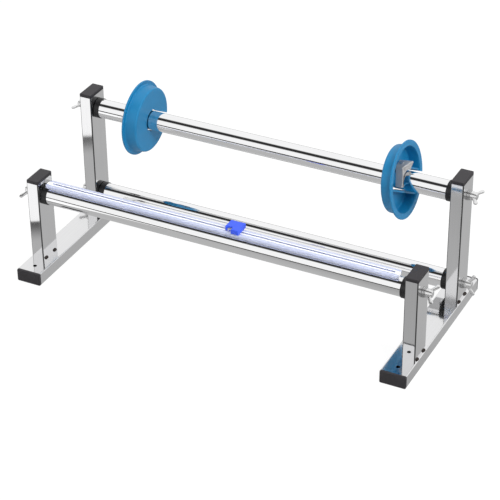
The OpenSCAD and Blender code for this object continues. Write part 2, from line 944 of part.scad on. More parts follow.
bar_plug(1, rear_y, guide_bar_z, end_play);  // guide_bar_right_plug
bar_inserts(rear_y, guide_bar_z, end_play);  // guide_bar_bushes
foam_tape();  // track_tape
track();  // cutter_track
cutter_top();  // cutter_body
track_foot();  // cutter_foot
blade();  // cutter_blade
core_holder(-1);  // left_core_holder
core_holder(1);  // right_core_holder
spring_clip(-1);  // left_clip
spring_clip(1);  // right_clip
clip_rivet(-1);  // left_clip_rivet
clip_rivet(1);  // right_clip_rivet
washer_set(-1, bolt_places[0]);  // front_left_washers
washer_set(1, bolt_places[0]);  // front_right_washers
washer_set(-1, bolt_places[1]);  // film_left_washers
washer_set(1, bolt_places[1]);  // film_right_washers
washer_set(-1, bolt_places[2]);  // guide_left_washers
washer_set(1, bolt_places[2]);  // guide_right_washers
wing_bolt(-1, bolt_places[0], wing_turn_front_left);  // front_left_wing_bolt
wing_bolt(1, bolt_places[0], wing_turn_front_right);  // front_right_wing_bolt
wing_bolt(-1, bolt_places[1], wing_turn_film_left);  // film_left_wing_bolt
wing_bolt(1, bolt_places[1], wing_turn_film_right);  // film_right_wing_bolt
wing_bolt(-1, bolt_places[2], wing_turn_guide_left);  // guide_left_wing_bolt
wing_bolt(1, bolt_places[2], wing_turn_guide_right);  // guide_right_wing_bolt
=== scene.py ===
"""Stretch film dispenser: the looks of its pieces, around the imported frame."""
import bmesh
import bpy
import numpy as np
from mathutils import Matrix, Vector


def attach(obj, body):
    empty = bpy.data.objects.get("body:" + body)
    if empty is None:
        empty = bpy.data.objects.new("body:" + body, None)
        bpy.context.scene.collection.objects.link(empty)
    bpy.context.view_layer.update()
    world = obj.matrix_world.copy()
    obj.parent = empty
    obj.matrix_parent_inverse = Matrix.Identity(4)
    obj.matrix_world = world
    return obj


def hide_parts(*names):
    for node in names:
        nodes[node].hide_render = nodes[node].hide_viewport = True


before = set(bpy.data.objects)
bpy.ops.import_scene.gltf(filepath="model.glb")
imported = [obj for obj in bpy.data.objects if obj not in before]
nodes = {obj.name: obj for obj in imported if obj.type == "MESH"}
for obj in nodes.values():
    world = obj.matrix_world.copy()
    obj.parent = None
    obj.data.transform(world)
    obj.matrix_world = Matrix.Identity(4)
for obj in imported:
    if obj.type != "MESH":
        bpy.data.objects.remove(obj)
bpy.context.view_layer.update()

MM = 0.001


# Camera: the photograph looks down on the counter from the front right, from some two metres away
# through a long lens. Yaw is its turn to the left, pitch its tilt down, roll its small lean.
camera_place = Vector((806.52, -1567.48, 1160.02)) * MM
camera_yaw, camera_pitch, camera_roll = 0.4726, 0.5634, -0.0113
forward = Vector((
    -np.sin(camera_yaw) * np.cos(camera_pitch),
    np.cos(camera_yaw) * np.cos(camera_pitch),
    -np.sin(camera_pitch),
))
level_right = Vector((np.cos(camera_yaw), np.sin(camera_yaw), 0.0))
level_up = level_right.cross(forward)
right = level_right * np.cos(camera_roll) + level_up * np.sin(camera_roll)
up = level_up * np.cos(camera_roll) - level_right * np.sin(camera_roll)

camera_data = bpy.data.cameras.new("camera")
camera_data.lens = 133.93
camera_data.sensor_width = 36.0
camera_data.clip_start, camera_data.clip_end = 0.05, 50.0
camera = bpy.data.objects.new("camera", camera_data)
camera_turn = Matrix((right, up, -forward)).transposed().to_4x4()
camera.matrix_world = Matrix.Translation(camera_place) @ camera_turn
bpy.context.scene.collection.objects.link(camera)
bpy.context.scene.camera = camera
bpy.context.scene.view_settings.view_transform = "Standard"


# Studio: a pure white surround above a light grey counter. A long black card with soft rims hangs
# overhead, shows only in reflections, and draws the dark line on each bar. Metal sees the counter
# darker, with a white patch and dark zones that are placed to match the photograph.
class Wire:
    """A socket that takes part in plain sums: each operator adds the Math node for it."""

    def __init__(self, tree, socket):
        self.tree = tree
        self.socket = socket

    def math(self, operation, *values):
        made = self.tree.nodes.new("ShaderNodeMath")
        made.operation = operation
        for entry, value in zip(made.inputs, values):
            plug(self.tree, value, entry)
        return Wire(self.tree, made.outputs[0])

    def __add__(self, other):
        return self.math("ADD", self, other)

    def __radd__(self, other):
        return self.math("ADD", other, self)

    def __sub__(self, other):
        return self.math("SUBTRACT", self, other)

    def __rsub__(self, other):
        return self.math("SUBTRACT", other, self)

    def __mul__(self, other):
        return self.math("MULTIPLY", self, other)

    def distance(self, value):
        """How far it lies from a value, up or down."""
        return self.math("ABSOLUTE", self - value)

    def step(self, low, high):
        """Smooth step from 0 at low to 1 at high."""
        made = self.tree.nodes.new("ShaderNodeMapRange")
        made.interpolation_type = "SMOOTHSTEP"
        plug(self.tree, self, made.inputs["Value"])
        made.inputs["From Min"].default_value = low
        made.inputs["From Max"].default_value = high
        return Wire(self.tree, made.outputs["Result"])


def plug(tree, value, entry):
    """Puts a number, a colour or a wire into a node's socket."""
    if isinstance(value, Wire):
        tree.links.new(value.socket, entry)
    else:
        entry.default_value = value


class Finish:
    """The node tree of a material or a world, with one method for any kind of node."""

    def __init__(self, holder):
        holder.use_nodes = True
        self.holder = holder
        self.tree = holder.node_tree
        self.tree.nodes.clear()

    def node(self, kind, settings=None, **sockets):
        """A node of that kind: its settings first, then the values and links of its sockets."""
        made = self.tree.nodes.new("ShaderNode" + kind)
        for name, value in (settings or {}).items():
            setattr(made, name, value)
        for name, value in sockets.items():
            entry = next(
                e for e in made.inputs if name in (e.identifier, e.name.replace(" ", "_")))
            plug(self.tree, value, entry)
        return made

    def out(self, made, name):
        return Wire(self.tree, made.outputs[name])

    def ray(self, name):
        """1 on light rays of that kind, 0 on others."""
        return self.out(self.node("LightPath"), name)

    def place(self):
        """The point in the part's own frame, in metres."""
        return self.out(self.node("TexCoord"), "Object")

    def axes(self):
        """The point's three coordinates, in metres."""
        made = self.node("SeparateXYZ", Vector=self.place())
        return [self.out(made, axis) for axis in "XYZ"]

    def stretched(self, x, y, z):
        """The point with its coordinates multiplied, to stretch a pattern."""
        made = self.node("VectorMath", {"operation": "MULTIPLY"}, Vector=self.place())
        made.inputs[1].default_value = (x, y, z)
        return self.out(made, "Vector")

    def noise(self, vector, scale, detail=2.0, rough=0.5):
        made = self.node("TexNoise", Vector=vector, Scale=scale, Detail=detail, Roughness=rough)
        return self.out(made, "Fac")

    def mix(self, share, first, second):
        """A colour between two colours."""
        made = self.node(
            "Mix", {"data_type": "RGBA"}, Factor_Float=share, A_Color=first, B_Color=second)
        return Wire(self.tree, next(o for o in made.outputs if o.identifier == "Result_Color"))

    def bump(self, height, strength, distance):
        made = self.node("Bump", Height=height, Strength=strength, Distance=distance)
        return self.out(made, "Normal")

    def joined(self, kind, first, second, **sockets):
        """Two shaders in one: added up, or mixed by a factor."""
        made = self.node(kind, **sockets)
        entries = [e for e in made.inputs if e.type == "SHADER"]
        self.tree.links.new(first.outputs[0], entries[0])
        self.tree.links.new(second.outputs[0], entries[1])
        return made

    def end(self, shader, kind="OutputMaterial"):
        self.tree.links.new(shader.outputs[0], self.node(kind).inputs["Surface"])
        return self.holder


def seen(r, g, b):
    """A colour as it looks on screen, 0 to 255, in the linear values that nodes use."""
    share = np.array([r, g, b]) / 255
    linear = np.where(share <= 0.04045, share / 12.92, ((share + 0.055) / 1.055) ** 2.4)
    return (*[float(v) for v in linear], 1.0)


def grey(level):
    return (level, level, level, 1.0)


world = bpy.data.worlds.new("studio")
bpy.context.scene.world = world
studio = Finish(world)
fill_level, full_level = 0.56, 1.0
level = fill_level
for kind in ("Is Glossy Ray", "Is Transmission Ray", "Is Camera Ray"):
    level = level + studio.ray(kind) * (full_level - fill_level)
studio.end(studio.node("Background", Color=grey(1.0), Strength=level), "OutputWorld")


def lamp(name, place, size, power):
    """A square soft lamp at a place, aimed at the dispenser, unseen in its metal."""
    data = bpy.data.lights.new(name, "AREA")
    data.energy = power
    data.size = size
    made = bpy.data.objects.new(name, data)
    made.location = place
    aim = Vector((0, 0, 0.1)) - Vector(place)
    made.rotation_euler = aim.to_track_quat("-Z", "Y").to_euler()
    made.visible_glossy = False
    bpy.context.scene.collection.objects.link(made)


lamp("key_lamp", (1.8, -0.8, 1.7), 1.1, 38)
lamp("top_lamp", (-0.2, 0.1, 2.3), 1.4, 16)


def stage_sheet(name, x, y, z, material):
    """A level rectangle that belongs to the studio, over two ranges."""
    mesh = bpy.data.meshes.new(name)
    corners = [(x[0], y[0], z), (x[1], y[0], z), (x[1], y[1], z), (x[0], y[1], z)]
    mesh.from_pydata(corners, [], [(0, 1, 2, 3)])
    mesh.materials.append(material)
    made = bpy.data.objects.new(name, mesh)
    bpy.context.scene.collection.objects.link(made)
    return made


counter = Finish(bpy.data.materials.new("counter_white"))
x, y, _ = counter.axes()
hard_rim, strip_width = 0.001, 0.05
past_line = x * 0.506 + y * 0.862 + 0.2886
on_left = 1 - x.step(-0.27, -0.25)
dark_strip = past_line.step(-hard_rim, hard_rim) * (1 - past_line.step(0.0, strip_width)) * on_left
white_patch = (1 - past_line.step(-hard_rim, hard_rim)) * on_left
front_right = (x * 0.8 - y).step(0.10, 0.42)
far_out = 1 - y.step(-0.75, -0.50)
metal_level = (0.50 - front_right * 0.10 - dark_strip * 0.40
               + white_patch * (1 - far_out) * 0.62 - far_out * 0.38)
for_metal = counter.node("Emission", Color=grey(1.0), Strength=metal_level)
for_light = counter.node("BsdfDiffuse", Color=grey(0.80))
glow = counter.node("Emission", Color=grey(1.0), Strength=0.90)
in_view = counter.joined("AddShader", glow, counter.node("BsdfDiffuse", Color=grey(0.14)))
out_of_view = counter.joined("MixShader", for_light, for_metal, Fac=counter.ray("Is Glossy Ray"))
in_all = counter.joined("MixShader", out_of_view, in_view, Fac=counter.ray("Is Camera Ray"))
counter_half, counter_z = 6, -0.0004
across_counter = (-counter_half, counter_half)
stage_sheet("counter", across_counter, across_counter, counter_z, counter.end(in_all))

card_front, card_rear, card_z, card_half = -1.36, 0.02, 1.6, 8
front_rim, rear_rim, blackness = 0.40, 0.30, 0.97
card_finish = Finish(bpy.data.materials.new("card_black"))
y = card_finish.axes()[1]
on_card = y.step(card_front, card_front + front_rim) * (1 - y.step(card_rear - rear_rim, card_rear))
card_black = card_finish.end(
    card_finish.node("Emission", Color=grey(1.0), Strength=1 - on_card * blackness))
card = stage_sheet(
    "overhead_card", (-card_half, card_half), (card_front, card_rear), card_z, card_black)
for kind in ("camera", "diffuse", "shadow", "transmission"):
    setattr(card, "visible_" + kind, False)


# Side frames: rails and posts of 30 by 15 mm stainless tube, cut, drilled, welded and polished.
# The belt leaves faint streaks along each tube, and handling leaves soft smudges that dull it.
rail_len, rail_w, rail_h, rail_x = 211, 30, 15, 224
post_x, post_w, post_t = 229.2, 30, 15
front_y, rear_y, front_top, rear_top = -60.6, 59.9, 113.5, 165.3
tube_corner_r = 1.4


def painted_corner_reflection(finish):
    """1 on the rounded corners of the posts, where a dark reflection line is painted, 0 on their
    faces.
    A point is on a corner where it lies near the outside of its post both ways."""
    near, nearest = 1.3, 0.9
    x, y, _ = finish.axes()
    off_x = x.distance(0.0).distance(post_x * MM)
    off_front, off_rear = y.distance(front_y * MM), y.distance(rear_y * MM)
    off_y = off_front.math("MINIMUM", off_front, off_rear)
    return (off_x.step((post_t / 2 - near) * MM, (post_t / 2 - nearest) * MM)
            * off_y.step((post_w / 2 - near) * MM, (post_w / 2 - nearest) * MM))


def polished_steel(name, along, tone, rough, streak, dark=None):
    """Polished steel with streaks along one axis, and darker where a mask says so."""
    finish = Finish(bpy.data.materials.new(name))
    across, down, finer = 900, 6, 4
    stretch = [down if axis == along else across for axis in "XYZ"]
    streaks = finish.noise(finish.stretched(*stretch), 1.0, 3.0, 0.6)
    fine = finish.noise(finish.stretched(*[v * finer for v in stretch]), 1.0, 1.0)
    smudge = finish.noise(finish.place(), 26.0, 3.0, 0.55)
    dull = (tone * 0.90, tone * 0.90, tone * 0.91, 1.0)
    bright = (tone * 1.04, tone * 1.04, tone * 1.045, 1.0)
    colour = finish.mix(streaks * 0.6 + smudge * 0.4, dull, bright)
    # Where the mask is 1, a dark reflection is painted into the colour.
    if dark:
        colour = finish.mix(dark(finish), colour, grey(0.10))
    return finish.end(finish.node(
        "BsdfPrincipled", Metallic=1.0, Base_Color=colour,
        Roughness=rough + streaks * streak + smudge * streak,
        Normal=finish.bump(fine, 0.05, 0.00002)))


def dress(names, material):
    """Gives nodes whose shape stays as it is their finish."""
    for name in names:
        nodes[name].data.materials.clear()
        nodes[name].data.materials.append(material)


rail_steel = polished_steel("rail_steel", "Y", 0.80, 0.06, 0.04)
# The posts carry a painted dark reflection along their rounded corners.
post_steel = polished_steel("post_steel", "Z", 0.84, 0.03, 0.04, painted_corner_reflection)
dress(["left_rail", "right_rail"], rail_steel)
dress([name for name in nodes if name.endswith("_post")], post_steel)


# Bars: 22 mm stainless tube, mirror polished, with fine lines left along them by the polish.
# The front one is clamped between its posts, the other two turn on the ends of their bolts.
bar_r, front_z, film_z, guide_z = 11, 95, 147.5, 35
bar_steel = polished_steel("bar_steel", "X", 0.93, 0.035, 0.03)
dress(["front_bar", "film_shaft", "guide_bar"], bar_steel)


# Caps on the posts and plugs in the rails: moulded charcoal plastic pressed into the tubes,
# with rounded rims and the fine grain of a spark-eroded mould.
cap_t, rail_plug_t = 3.7, 3.0


def grid(points, wrap_u=False, wrap_v=False):
    """Quads between neighbours in an array of rows and columns of points."""
    number = np.arange(points.shape[0] * points.shape[1]).reshape(points.shape[:2])
    if wrap_u:
        number = np.vstack([number, number[:1]])
    if wrap_v:
        number = np.hstack([number, number[:, :1]])
    quads = np.stack([number[:-1, :-1], number[1:, :-1], number[1:, 1:], number[:-1, 1:]], -1)
    return points.reshape(-1, 3), quads.reshape(-1, 4).tolist()


def arc(cx, cy, r, start, end, steps=6):
    """Points on a circle: the centre plus r times cosine and sine, over angles in degrees."""
    angle = np.radians(np.linspace(start, end, steps + 1))
    return np.stack([cx + r * np.cos(angle), cy + r * np.sin(angle)], -1)


def round_rect(w, h, r):
    """A rounded rectangle about its centre, counterclockwise, from four quarter circles."""
    a, b = w / 2 - r, h / 2 - r
    return np.concatenate([arc(a, b, r, 0, 90), arc(-a, b, r, 90, 180),
                           arc(-a, -b, r, 180, 270), arc(a, -b, r, 270, 360)])


def unit(vectors):
    """Vectors along the last axis brought to length 1. A null one stays null."""
    return vectors / np.maximum(np.linalg.norm(vectors, axis=-1, keepdims=True), 1e-9)


def outward(outline):
    """Direction away from a counterclockwise outline at each point, square to it and lengthened
    at corners, from the unit steps to the point and on from it."""
    step_in = unit(outline - np.roll(outline, 1, 0))
    step_out = unit(np.roll(outline, -1, 0) - outline)
    both = unit(step_in + step_out)
    lengthen = 1 / np.maximum((both * step_out).sum(1, keepdims=True), 0.5)
    return np.stack([both[:, 1], -both[:, 0]], -1) * lengthen


def raised(outlines, heights):
    """Flat outlines, each at a height of its own."""
    tall = np.broadcast_to(heights[:, None, None], (*outlines.shape[:2], 1))
    return np.concatenate([outlines, tall], -1)


def block(outline, low, high, r_low, r_high, steps=4):
    """A flat outline carried up from low to high with rounded rims.
    A row on a rim of radius r lies r times (1 - sine) inside, at r times (1 - cosine)."""
    low_rim = np.linspace(0, np.pi / 2, steps + 1)
    high_rim = low_rim[::-1]
    inset = np.concatenate([r_low * (1 - np.sin(low_rim)), r_high * (1 - np.sin(high_rim))])
    height = np.concatenate([low + r_low * (1 - np.cos(low_rim)),
                             high - r_high * (1 - np.cos(high_rim))])
    flat = outline[None] - inset[:, None, None] * outward(outline)[None]
    points, faces = grid(raised(flat, height), wrap_v=True)
    return points, faces + ends(len(outline), len(points))


def ends(count, total):
    """The two faces that close a run of rings with that many points each."""
    return [list(range(count)), list(range(total - count, total))[::-1]]


def moved(shape, origin, x=(1, 0, 0), y=(0, 1, 0), z=(0, 0, 1)):
    """A shape set down at an origin, with its own axes along three given directions."""
    return shape[0] @ np.array([x, y, z], float) + np.array(origin, float), shape[1]


def piece(name, shapes, material, body, replaced, crease=40):
    """One piece of the part from shapes in millimetres, on its body and in place of its nodes."""
    starts = np.cumsum([0] + [len(points) for points, _ in shapes])
    faces = [[corner + start for corner in face]
             for (_, own), start in zip(shapes, starts.tolist()) for face in own]
    mesh = bpy.data.meshes.new(name)
    mesh.from_pydata((np.concatenate([points for points, _ in shapes]) * MM).tolist(), [], faces)
    work = bmesh.new()
    work.from_mesh(mesh)
    bmesh.ops.remove_doubles(work, verts=work.verts, dist=1e-7)
    bmesh.ops.recalc_face_normals(work, faces=work.faces)
    work.to_mesh(mesh)
    work.free()
    mesh.materials.append(material)
    made = bpy.data.objects.new(name, mesh)
    bpy.context.scene.collection.objects.link(made)
    shade(made, crease)
    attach(made, body)
    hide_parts(*replaced)
    return made


def shade(made, crease):
    """Smooth shading that stops at creases and keeps faces flat beside their rounded rims."""
    made.data.shade_smooth()
    made.data.set_sharp_from_angle(angle=np.radians(crease))
    made.modifiers.new("even_shading", "WEIGHTED_NORMAL").keep_sharp = True


def moulded(name, dark, light, rough, grain, depth):
    """Moulded plastic: a slight drift of colour and the grain of its mould."""
    finish = Finish(bpy.data.materials.new(name))
    drift = finish.noise(finish.place(), 60.0, 3.0, 0.6)
    speck = finish.noise(finish.place(), grain, 2.0, 0.5)
    return finish.end(finish.node(
        "BsdfPrincipled", Base_Color=finish.mix(drift * 0.7 + speck * 0.3, dark, light),
        Roughness=rough + drift * 0.08 + speck * 0.08, Normal=finish.bump(speck, 0.25, depth)))


def end_cap(w, h, thickness):
    """A pressed-in end for a tube: its face above zero, its hollow insert below."""
    tube_wall, wall, reach, overlap, seat_rim, face_rim = 1.3, 1.5, 9.0, 0.2, 0.1, 1.0
    insert_w, insert_h = w - 2 * tube_wall, h - 2 * tube_wall
    face = block(round_rect(w, h, tube_corner_r), 0, thickness, seat_rim, face_rim)
    outer = round_rect(insert_w, insert_h, 0.8)
    inner = round_rect(insert_w - 2 * wall, insert_h - 2 * wall, 0.3)
    insert = raised(np.stack([outer, outer, inner, inner]),
                    np.array([overlap, -reach, -reach, overlap]))
    return [face, grid(insert, wrap_u=True, wrap_v=True)]


charcoal = moulded("charcoal_plastic", seen(30, 28, 31), seen(50, 47, 51), 0.46, 2600, 0.00008)
for side, hand in (("left", -1), ("right", 1)):
    for end, y, height in (("front", front_y, front_top), ("rear", rear_y, rear_top)):
        cap = [moved(shape, (hand * post_x, y, height)) for shape in end_cap(post_t, post_w, cap_t)]
        piece(f"{side}_{end}_post_cap", cap, charcoal,
              "frame", [f"{side}_{end}_cap"])
    for end, way in (("front", -1), ("rear", 1)):
        origin = (hand * rail_x, way * (rail_len / 2 - rail_plug_t), rail_h / 2)
        cap = [moved(shape, origin, y=(0, 0, 1), z=(0, way, 0))
               for shape in end_cap(rail_w, rail_h, rail_plug_t)]
        piece(f"{side}_{end}_rail_end", cap, charcoal,
              "frame", [f"{side}_{end}_rail_plug"])


# Weld tacks: short beads that hold each post on its rail, laid in overlapping drops.
# They stay unpolished, dark brown where the heat has coloured them.
def bead(length, r):
    """A bead along Y: its radius swells and shrinks over four drops, and its ends close."""
    along = np.linspace(-1, 1, 29)[:, None]
    around = np.linspace(0, 2 * np.pi, 18, endpoint=False)[None]
    drops, ripple = 4, 0.14
    closing = np.sqrt(np.clip(1 - along ** 6, 0, 1))
    swell = r * closing * (1 - ripple + ripple * np.cos(along * drops * np.pi) ** 2)
    points = np.stack([swell * np.cos(around), along * length / 2 + 0 * around,
                       swell * np.sin(around)], -1)
    return grid(points, wrap_v=True)


heat = Finish(bpy.data.materials.new("weld_scale"))
patch = heat.noise(heat.place(), 900.0, 4.0, 0.7)
tint = heat.mix(patch.step(0.35, 0.65), seen(34, 30, 30), seen(96, 88, 84))
weld_scale = heat.end(heat.node(
    "BsdfPrincipled", Base_Color=tint, Metallic=0.75, Roughness=0.36 + patch * 0.3,
    Normal=heat.bump(patch, 0.6, 0.0002)))
tack_len, tack_r, tack_off = 4.9, 1.95, 9
tack_places = [(post_x + way * post_t / 2, y + end * tack_off)
               for way in (1, -1) for y in (front_y, rear_y) for end in (-1, 1)]
beads = [moved(bead(tack_len, tack_r), (hand * x, y, rail_h))
         for hand in (-1, 1) for x, y in tack_places]
piece("weld_beads", beads, weld_scale, "frame", ["weld_tacks"])


# Fittings inside: threaded sleeves through the posts, nuts in the front bar's plugs and bushes
# in the turning ones. They show only where a bolt is backed out.
def machined(name, colour, rough, marks_scale=700.0):
    """Machined metal: fine marks of the tool and a slight drift of shade."""
    finish = Finish(bpy.data.materials.new(name))
    marks = finish.noise(finish.place(), marks_scale, 3.0, 0.6)
    dark = (*[0.86 * v for v in colour[:3]], 1.0)
    return finish.end(finish.node(
        "BsdfPrincipled", Metallic=1.0, Base_Color=finish.mix(marks, dark, colour),
        Roughness=rough + marks * 0.15, Normal=finish.bump(marks, 0.2, 0.00004)))


dress(["post_sleeves"], machined("sleeve_steel", grey(0.55), 0.25))
dress(["front_bar_nuts", "film_shaft_bushes", "guide_bar_bushes"],
      machined("insert_brass", (0.78, 0.60, 0.30, 1.0), 0.22))


# End plugs of the bars: black plastic turned parts, with a flange a little wider than the bar
# that fills the space between bar and post, and a bored insert inside the tube.
half_width, flange_depth, turning_play = 221.7, 7, 0.3


def about_z(outline, angle):
    """Each point of an outline of (radius, height) at angles about Z: x and y are radius times
    cosine and sine."""
    r, h = np.asarray(outline, float).T[:, :, None]
    return np.stack([r * np.cos(angle), r * np.sin(angle), h + 0 * angle], -1)


def turned(outline, steps=72, ring=True):
    """An outline of (radius, height) turned all the way round Z."""
    angle = np.linspace(0, 2 * np.pi, steps, endpoint=False)[None]
    return grid(about_z(outline, angle), wrap_u=ring, wrap_v=True)


def along_bar(shape, hand, x, y, z):
    """A shape set on a bar's axis at x, with its own Z pointing out of the dispenser."""
    return moved(shape, (hand * x, y, z), x=(0, 1, 0), y=(0, 0, hand), z=(hand, 0, 0))


def bar_plug(thick):
    """Outline of an end plug, its flange from height 0 up and its insert below."""
    flange_r, insert_r, inner_r, depth = 11.75, 9.7, 4.52, 14
    flange_rim, tip_rim, lead_in, bevel = 0.7, 0.8, 1, 0.4
    return np.concatenate([
        [[inner_r, -depth + lead_in], [inner_r + lead_in, -depth]],
        arc(insert_r - tip_rim, -depth + tip_rim, tip_rim, -90, 0, 4), [[insert_r, 0]],
        arc(flange_r - flange_rim, flange_rim, flange_rim, -90, 0),
        arc(flange_r - flange_rim, thick - flange_rim, flange_rim, 0, 90),
        [[inner_r + bevel, thick], [inner_r, thick - bevel]]])


plug_black = moulded("plug_black", seen(10, 10, 12), seen(26, 25, 28), 0.36, 1800, 0.00006)
bars = (("front_bar", front_y, front_z, 0.0, "frame"),
        ("film_shaft", rear_y, film_z, turning_play, "film_shaft"),
        ("guide_bar", rear_y, guide_z, turning_play, "guide_bar"))
for bar, y, z, play, body in bars:
    plug_shape = turned(bar_plug(flange_depth - play))
    for side, hand in (("left", -1), ("right", 1)):
        piece(f"{bar}_{side}_end", [along_bar(plug_shape, hand, half_width - flange_depth, y, z)],
              plug_black, body, [f"{bar}_{side}_plug"])


# Wing bolts: cast stainless wings on a threaded shank, tumbled smooth, with a flat washer and
# a split spring washer under each head. Every head stands at its own turn, as it was left.
seat_gap, washer_t, press = 0.1, 1.6, 0.02
washer_x = post_x + post_t / 2 + seat_gap
head_x = washer_x + 2 * (washer_t + press)
shank_len, shank_r, pitch = 25, 3, 1


def thread(length, r, pitch, around=32):
    """A threaded shank down from zero. Its radius is r at the crest and half a millimetre less at
    the root, by how far the height over the pitch, less the turn, is from a whole number."""
    rows_a_turn, depth, flank, crest_flat, point_len, point_share = 8, 0.5, 1.3, 0.15, 0.8, 0.5
    height = -np.linspace(0, length, int(length / pitch * rows_a_turn) + 1)[:, None]
    turn = np.linspace(0, 1, around, endpoint=False)[None]
    from_crest = np.abs((height / pitch - turn) % 1 - 0.5) * 2
    taper = np.clip((length + height) / point_len, 0, 1) * (1 - point_share) + point_share
    radius = (r - depth * np.clip(from_crest * flank - crest_flat, 0, 1)) * taper
    angle = 2 * np.pi * turn
    points = np.stack([radius * np.cos(angle), radius * np.sin(angle), height + 0 * turn], -1)
    tip = np.broadcast_to([[[0.0, 0.0, -length]]], (1, around, 3))
    return grid(np.concatenate([0 * points[:1], points, tip]), wrap_v=True)


def wing(way):
    """One cast wing: a squared ellipse carried along a slightly bowed line from hub to tip,
    narrower at its waist and closed at the tip by the square root of the distance left."""
    root, line, reach = (2.4, 3.15), (0.811, 0.5855), 12.34
    half_wide, waist, waist_speed, half_thick, thinning = 2.45, 0.6, 1.25, 1.5, 0.45
    tip_len, squareness, bend = 2.4, 0.75, 0.35
    along = np.linspace(0, 1, 29)[:, None] ** 0.8
    around = np.linspace(0, 2 * np.pi, 24, endpoint=False)[None]
    far = along * reach
    closing = np.sqrt(1 - (1 - np.clip((reach - far) / tip_len, 0, 1)) ** 2)
    width = (half_wide - waist * np.sin(np.pi * np.clip(along * waist_speed, 0, 1))) * closing
    thick = (half_thick - thinning * along) * np.sqrt(closing)
    c, s = np.cos(around), np.sin(around)
    u = np.sign(c) * np.abs(c) ** squareness * width
    v = np.sign(s) * np.abs(s) ** squareness * thick
    bow = bend * np.sin(np.pi * along)
    loops = np.stack([way * (root[0] + far * line[0] - u * line[1] - bow), v,
                      root[1] + far * line[1] + u * line[0]], -1)
    first, last = [loops[[i]].mean(1, keepdims=True) + 0 * loops[:1] for i in (0, -1)]
    return grid(np.concatenate([first, loops, last]), wrap_v=True)


def washer_section(outer_r, inner_rim):
    """A ring's section as (radius, height), counterclockwise, with rounded rims."""
    inner_r, outer_rim = 3.3, 0.25
    return np.concatenate([
        arc(inner_r + inner_rim, inner_rim, inner_rim, 180, 270, 3),
        arc(outer_r - outer_rim, outer_rim, outer_rim, -90, 0, 3),
        arc(outer_r - outer_rim, washer_t - outer_rim, outer_rim, 0, 90, 3),
        arc(inner_r + inner_rim, washer_t - inner_rim, inner_rim, 90, 180, 3)])


def spring_ring():
    """A square section carried round from one side of the split to the other, its ends closed."""
    section, half_split = washer_section(5.5, 0.25), 5.5
    angle = np.radians(np.linspace(half_split, 360 - half_split, 65))[None]
    points, faces = grid(about_z(section, angle).transpose(1, 0, 2), wrap_v=True)
    return points, faces + ends(len(section), len(points))


hub = turned(np.concatenate([
    [[0, 0]], arc(4.6, 0.4, 0.4, -90, 0, 3), [[4.95, 2.4]],
    arc(3.0, 6.7, 0.9, 8, 90), [[1.4, 7.45], [0, 7.3]]]), 48, ring=False)
screw = (hub, wing(1), wing(-1), thread(shank_len, shank_r, pitch))
flat_ring = turned(washer_section(6.0, 0.2), 64)

bolt_steel = machined("bolt_steel", grey(0.88), 0.20, 400.0)
washer_steel = machined("washer_steel", grey(0.62), 0.24, 900.0)
bolts = (("front", "left", 29, front_y, front_z), ("film", "left", 8, rear_y, film_z),
         ("guide", "left", 5, rear_y, guide_z), ("front", "right", 25, front_y, front_z),
         ("film", "right", 9, rear_y, film_z), ("guide", "right", 85, rear_y, guide_z))
for place, side, degrees, y, z in bolts:
    stem, hand = f"{place}_{side}", {"left": -1, "right": 1}[side]
    c, s = np.cos(np.radians(degrees)), np.sin(np.radians(degrees)) * hand
    shapes = [moved(shape, (0, 0, 0), x=(c, s, 0), y=(-s, c, 0)) for shape in screw]
    piece(stem + "_wing_screw", [along_bar(shape, hand, head_x, y, z) for shape in shapes],
          bolt_steel, stem + "_wing_bolt", [stem + "_wing_bolt"])
    rings = [along_bar(flat_ring, hand, washer_x, y, z),
             along_bar(spring_ring(), hand, washer_x + washer_t + press, y, z)]
    piece(stem + "_washer_pair", rings, washer_steel,
          stem + "_washers", [stem + "_washers"])


# Core holders: cups moulded in satin blue plastic, with a flange, a boss for the film's core and
# a slot that takes the bar from the side. Two ribs stiffen the slot and carry the spring clip.
flange_r, flange_t, boss_root_r, boss_tip_r, holder_depth = 43.69, 2.0, 38.9, 37.7, 15.2
floor_z, cup_r, mouth_r = -12.7, 36.0, 36.85
bore_r, slot_half, slot_turn = bar_r + 1.5, bar_r + 0.5, np.radians(30)
holder_x = {"left": -165.0, "right": 166.2}


def on_shaft(shape, side):
    """A holder's shape on the bar. The right one leans about a point inside it. The left one is
    the same moulding turned half round the line of its slot, so that it faces the other way."""
    points, faces = shape
    out = points[:, [2, 0, 1]]
    if side == "right":
        lean, lean_depth = np.radians(7), 5
        c, s = np.cos(lean), np.sin(lean)
        leaned = (out + [lean_depth, 0, 0]) @ np.array([[c, 0, s], [0, 1, 0], [-s, 0, c]])
        return leaned + [holder_x[side] - lean_depth, rear_y, film_z], faces
    line = np.array([0, np.cos(slot_turn), -np.sin(slot_turn)])
    return 2 * (out @ line)[:, None] * line - out + [holder_x[side], rear_y, film_z], faces


def down_slot(outline):
    """A flat outline turned so that its x runs down the slot."""
    c, s = np.cos(slot_turn), np.sin(slot_turn)
    return np.asarray(outline, float) @ np.array([[c, -s], [s, c]])


